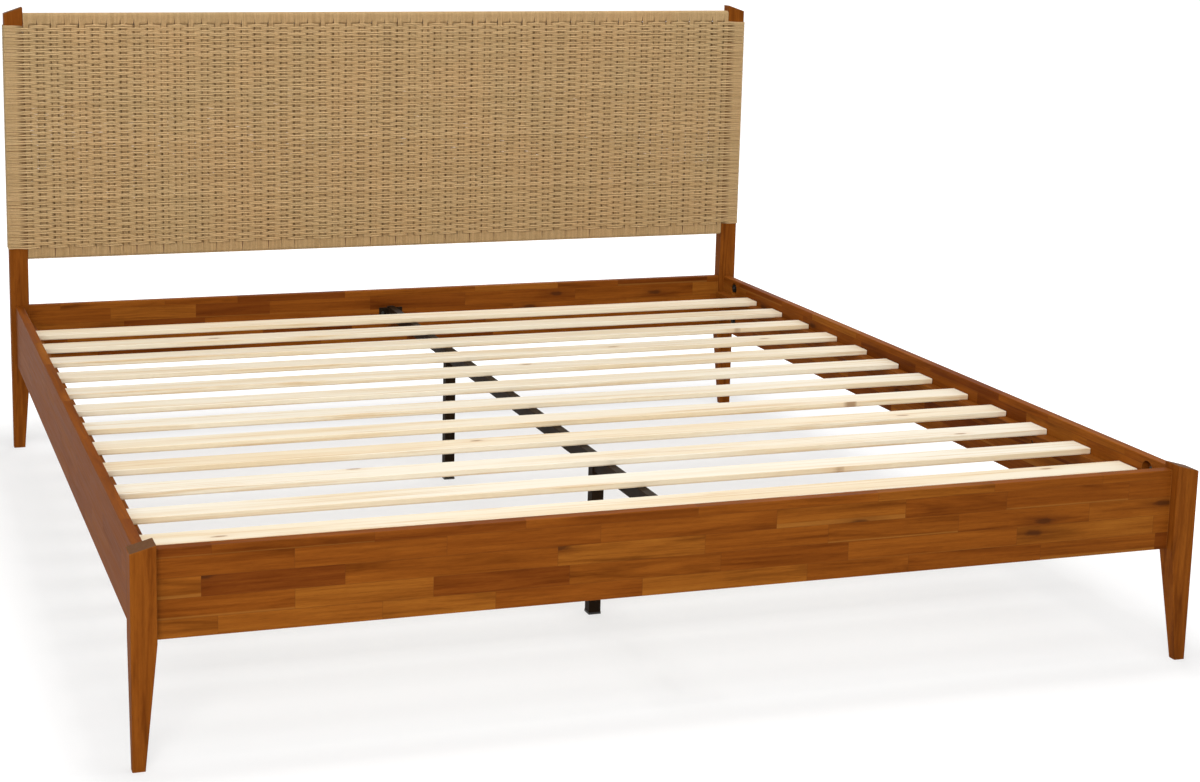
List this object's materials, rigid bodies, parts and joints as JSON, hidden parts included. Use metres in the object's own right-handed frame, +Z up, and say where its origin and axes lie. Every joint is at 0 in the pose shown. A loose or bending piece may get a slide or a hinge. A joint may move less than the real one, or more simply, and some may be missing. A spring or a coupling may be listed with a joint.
{
  "type": "platform bed",
  "caption": "Platform bed with tapered wood legs, glued-stave rails, loose wood slats on a steel centre beam, and a woven paper-cord headboard between tapered posts.",
  "frame": {"origin": "on the floor, under the middle of the bed's outline", "axes": "+Y from the foot of the bed to the headboard, +X to the right seen from the foot, +Z up"},
  "size_m": [2.01, 2.128, 1.1266],
  "materials": {
    "acacia": "satin oil, finger-jointed staves of mixed tone",
    "hidden_wood": "plain sanded",
    "pine": "raw sanded",
    "dowel_wood": "fluted raw",
    "paper_cord": "twisted kraft paper, matt",
    "dark_steel": "satin dark brown powder coat",
    "black_plastic": "fine texture",
    "bolt_steel": "black oxide"
  },
  "bodies": {
    "root": {"beam_end_plugs": "black_plastic", "beam_hanger_foot": "dark_steel", "beam_hanger_head": "dark_steel", "beam_hanger_screws": "bolt_steel", "centre_beam": "dark_steel", "centre_leg_bolts": "bolt_steel", "centre_leg_cap_front": "black_plastic", "centre_leg_cap_rear": "black_plastic", "centre_leg_front": "dark_steel", "centre_leg_nuts": "bolt_steel", "centre_leg_rear": "dark_steel", "foot_dowels": "dowel_wood", "foot_rail": "acacia", "front_leg_left": "acacia", "front_leg_right": "acacia", "half_moon_washers": "bolt_steel", "hanger_bolt_nuts": "bolt_steel", "hanger_bolts": "bolt_steel", "headboard_centre_stile": "hidden_wood", "headboard_dowels": "dowel_wood", "headboard_lower_rail": "acacia", "headboard_panel_rail": "hidden_wood", "headboard_post_left": "acacia", "headboard_post_right": "acacia", "headboard_top_rail": "hidden_wood", "ledge_screws": "bolt_steel", "side_rail_left": "acacia", "side_rail_right": "acacia", "slat_01": "pine", "slat_02": "pine", "slat_03": "pine", "slat_04": "pine", "slat_05": "pine", "slat_06": "pine", "slat_07": "pine", "slat_08": "pine", "slat_09": "pine", "slat_10": "pine", "slat_11": "pine", "slat_12": "pine", "slat_ledge_left": "acacia", "slat_ledge_right": "acacia", "slat_pegs": "dowel_wood", "warp_cords": "paper_cord", "weft_cords": "paper_cord"}
  },
  "joints": []
}
